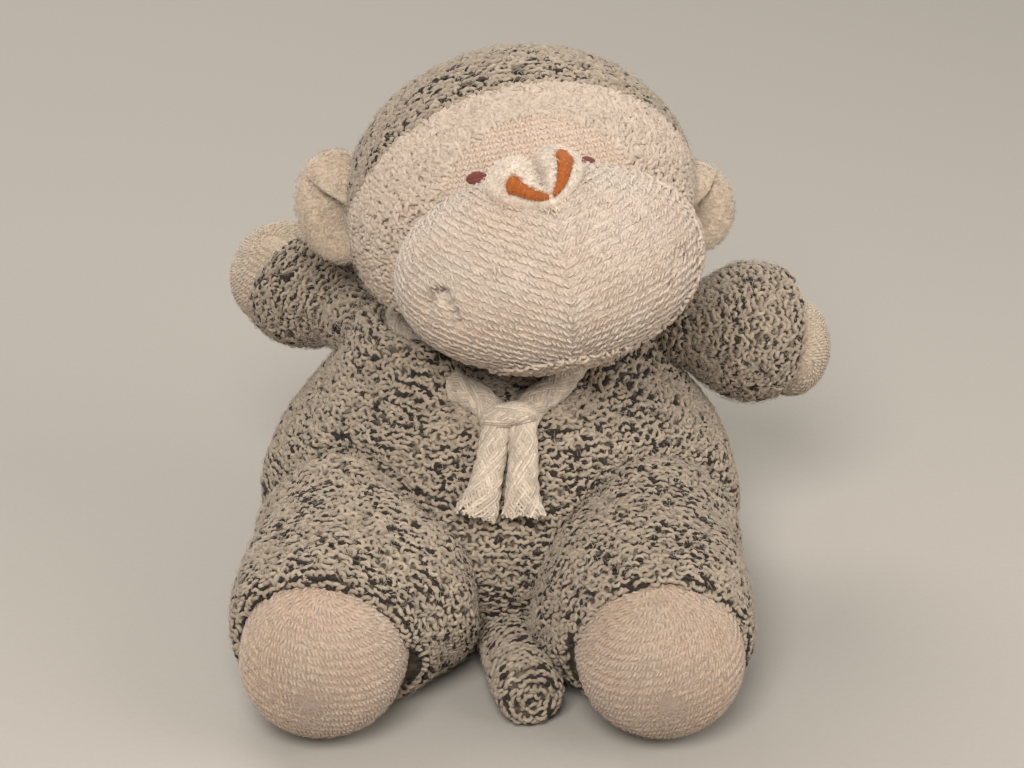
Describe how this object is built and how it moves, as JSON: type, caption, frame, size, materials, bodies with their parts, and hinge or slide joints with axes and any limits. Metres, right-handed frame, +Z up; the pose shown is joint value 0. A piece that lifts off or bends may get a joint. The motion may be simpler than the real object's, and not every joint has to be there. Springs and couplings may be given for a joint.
{
  "type": "plush monkey",
  "caption": "Seated soft toy monkey of marled loop knit with tan hands, feet, ears and muzzle, and a cotton neck cord; a stuffed toy that sits by itself.",
  "frame": {"origin": "middle of the flat seat, on the surface the toy sits on", "axes": "+Z up; the toy looks along -Y; its right side is -X"},
  "size_m": [0.1427, 0.1334, 0.1318],
  "materials": {
    "marled_knit": "looped marl knit, greyish beige with black-brown flecks",
    "tan_knit": "smooth rib knit",
    "peach_knit": "smooth flat knit",
    "cream_terry": "terry loops",
    "fibre_filling": "polyester fibre",
    "bean_filling": "cloth bag of plastic beans",
    "cotton_cord": "braided cotton",
    "nose_velour": "short velour",
    "rust_thread": "satin stitch",
    "maroon_thread": "satin stitch"
  },
  "bodies": {
    "torso": {"body_front_panel": "marled_knit", "body_back_panel": "marled_knit", "body_filling": "fibre_filling", "seat_bean_bag": "bean_filling", "neck_cord": "cotton_cord", "cord_knot": "cotton_cord", "cord_tail_right": "cotton_cord", "cord_tail_left": "cotton_cord"},
    "neck": {"neck_stub": "marled_knit"},
    "head": {"hood": "marled_knit", "face_ring": "cream_terry", "forehead_patch": "peach_knit", "head_filling": "fibre_filling", "muzzle_right_half": "tan_knit", "muzzle_left_half": "tan_knit", "muzzle_filling": "fibre_filling", "nose": "nose_velour", "nostril_right": "rust_thread", "nostril_left": "rust_thread", "eye_right": "maroon_thread", "eye_left": "maroon_thread"},
    "right_ear": {"ear_right": "tan_knit"},
    "left_ear": {"ear_left": "tan_knit"},
    "right_arm": {"sleeve_right": "marled_knit", "hand_right": "tan_knit", "arm_filling_right": "fibre_filling"},
    "left_arm": {"sleeve_left": "marled_knit", "hand_left": "tan_knit", "arm_filling_left": "fibre_filling"},
    "right_leg": {"trouser_leg_right": "marled_knit", "foot_right": "tan_knit", "leg_filling_right": "fibre_filling"},
    "left_leg": {"trouser_leg_left": "marled_knit", "foot_left": "tan_knit", "leg_filling_left": "fibre_filling"},
    "tail": {"tail_cover": "marled_knit", "tail_end": "marled_knit", "tail_filling": "fibre_filling"}
  },
  "joints": [
    {"name": "head_turn", "type": "hinge", "parent": "torso", "child": "neck", "pos_m": [0, 0.002, 0.068], "axis": [0, 0, 1], "range_deg": [-20, 20], "stiffness_Nm_per_rad": 0.3},
    {"name": "head_nod", "type": "hinge", "parent": "neck", "child": "head", "pos_m": [0, 0.002, 0.068], "axis": [1, 0, 0], "range_deg": [-12, 12], "stiffness_Nm_per_rad": 0.3},
    {"name": "right_arm_swing", "type": "hinge", "parent": "torso", "child": "right_arm", "pos_m": [-0.03507, 0.008, 0.06475], "axis": [0, 1, 0], "range_deg": [-20, 20], "stiffness_Nm_per_rad": 0.06},
    {"name": "left_arm_swing", "type": "hinge", "parent": "torso", "child": "left_arm", "pos_m": [0.04013, 0.008, 0.06225], "axis": [0, -1, 0], "range_deg": [-20, 20], "stiffness_Nm_per_rad": 0.06},
    {"name": "right_leg_swing", "type": "hinge", "parent": "torso", "child": "right_leg", "pos_m": [-0.033, -0.029, 0.0245], "axis": [-1, 0, 0], "range_deg": [-15, 20], "stiffness_Nm_per_rad": 0.1},
    {"name": "left_leg_swing", "type": "hinge", "parent": "torso", "child": "left_leg", "pos_m": [0.033, -0.029, 0.0245], "axis": [-1, 0, 0], "range_deg": [-15, 20], "stiffness_Nm_per_rad": 0.1},
    {"name": "tail_lift", "type": "hinge", "parent": "torso", "child": "tail", "pos_m": [0.001, -0.036, 0.0073], "axis": [-1, 0, 0], "range_deg": [-10, 20], "stiffness_Nm_per_rad": 0.02},
    {"name": "right_ear_fold", "type": "hinge", "parent": "head", "child": "right_ear", "pos_m": [-0.03427, -0.00461, 0.09663], "axis": [-0.1702, 0.3353, 0.9266], "range_deg": [-15, 15], "stiffness_Nm_per_rad": 0.003},
    {"name": "left_ear_fold", "type": "hinge", "parent": "head", "child": "left_ear", "pos_m": [0.04324, 0.00464, 0.09241], "axis": [-0.1702, 0.3353, 0.9266], "range_deg": [-15, 15], "stiffness_Nm_per_rad": 0.003}
  ]
}
